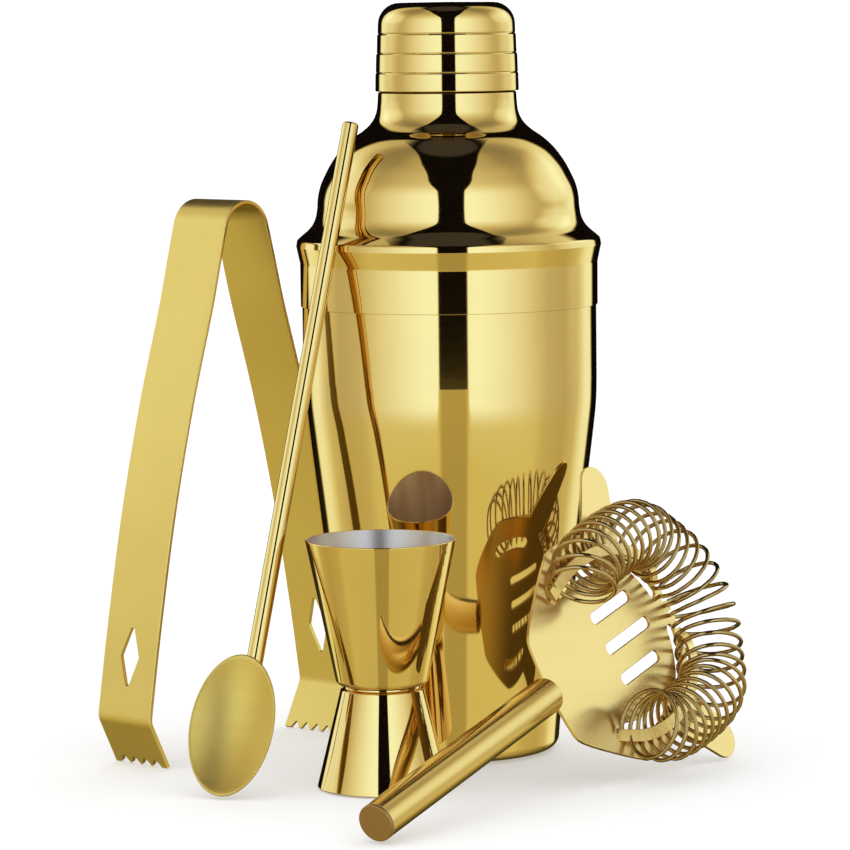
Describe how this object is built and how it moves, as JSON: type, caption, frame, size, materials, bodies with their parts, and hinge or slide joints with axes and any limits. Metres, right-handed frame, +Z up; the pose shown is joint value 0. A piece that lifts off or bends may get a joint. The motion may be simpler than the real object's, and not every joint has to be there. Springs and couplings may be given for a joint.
{
  "type": "cocktail shaker set",
  "caption": "Gold-tone cocktail set standing together: cobbler shaker, double jigger, ice tongs, bar spoon and Hawthorne strainer.",
  "frame": {"origin": "centre of the shaker's flat base, on the surface that the set stands on", "axes": "+Z up along the shaker's axis, -Y towards the front of the set where the strainer's handle points, +X to the right"},
  "size_m": [0.1841, 0.1867, 0.2152],
  "materials": {
    "polished_gold": "mirror-polished gold-tone stainless steel",
    "satin_gold": "satin-brushed gold-tone stainless steel",
    "spring_wire": "drawn gold-tone stainless spring wire",
    "brushed_inside": "plain brushed stainless steel inside the jigger cups"
  },
  "bodies": {
    "tumbler": {"tumbler": "polished_gold"},
    "strainer_top": {"shoulder": "polished_gold", "strainer_disc": "polished_gold"},
    "cap": {"cap": "polished_gold"},
    "jigger": {"jigger_large_cup": "polished_gold", "jigger_small_cup": "polished_gold"},
    "spoon": {"spoon_bowl": "satin_gold", "spoon_stem": "polished_gold"},
    "tongs_bow": {"tongs_bow": "satin_gold"},
    "tongs_arm_left": {"tongs_arm_left": "satin_gold"},
    "tongs_arm_right": {"tongs_arm_right": "satin_gold"},
    "hawthorne_strainer": {"strainer_plate": "satin_gold", "coil_spring": "spring_wire", "strainer_handle": "polished_gold", "strainer_handle_cap": "satin_gold"}
  },
  "joints": [
    {"name": "strainer_top_lift", "type": "slide", "parent": "tumbler", "child": "strainer_top", "axis": [0, 0, 1], "range_m": [0, 0.08]},
    {"name": "cap_lift", "type": "slide", "parent": "strainer_top", "child": "cap", "axis": [0, 0, 1], "range_m": [0, 0.045]},
    {"name": "jigger_lift", "type": "slide", "parent": "tumbler", "child": "jigger", "axis": [0.2506, -0.3509, 0.9023], "range_m": [0, 0.1]},
    {"name": "spoon_lift", "type": "slide", "parent": "strainer_top", "child": "spoon", "axis": [-0.2005, -0.3008, 0.9324], "range_m": [0, 0.1]},
    {"name": "tongs_lift", "type": "slide", "parent": "tumbler", "child": "tongs_bow", "axis": [-0.3, 0, 0.9539], "range_m": [0, 0.1]},
    {"name": "strainer_lift", "type": "slide", "parent": "tumbler", "child": "hawthorne_strainer", "axis": [0.3002, -0.2501, 0.9205], "range_m": [0, 0.1]},
    {"name": "tongs_arm_right_hinge", "type": "hinge", "parent": "tongs_bow", "child": "tongs_arm_right", "pos_m": [-0.05636, 0.01414, 0.131], "axis": [-0.749, 0.6626, 0], "range_deg": [0, 14.5], "stiffness_Nm_per_rad": 1.5},
    {"name": "tongs_arm_left_hinge", "type": "hinge", "parent": "tongs_bow", "child": "tongs_arm_left", "pos_m": [-0.07464, -0.00654, 0.131], "axis": [0.749, -0.6626, 0], "range_deg": [0, 14.5], "stiffness_Nm_per_rad": 1.5}
  ],
  "couplings": [
    {"joint": "tongs_arm_left_hinge", "follows": "tongs_arm_right_hinge", "ratio": 1}
  ]
}
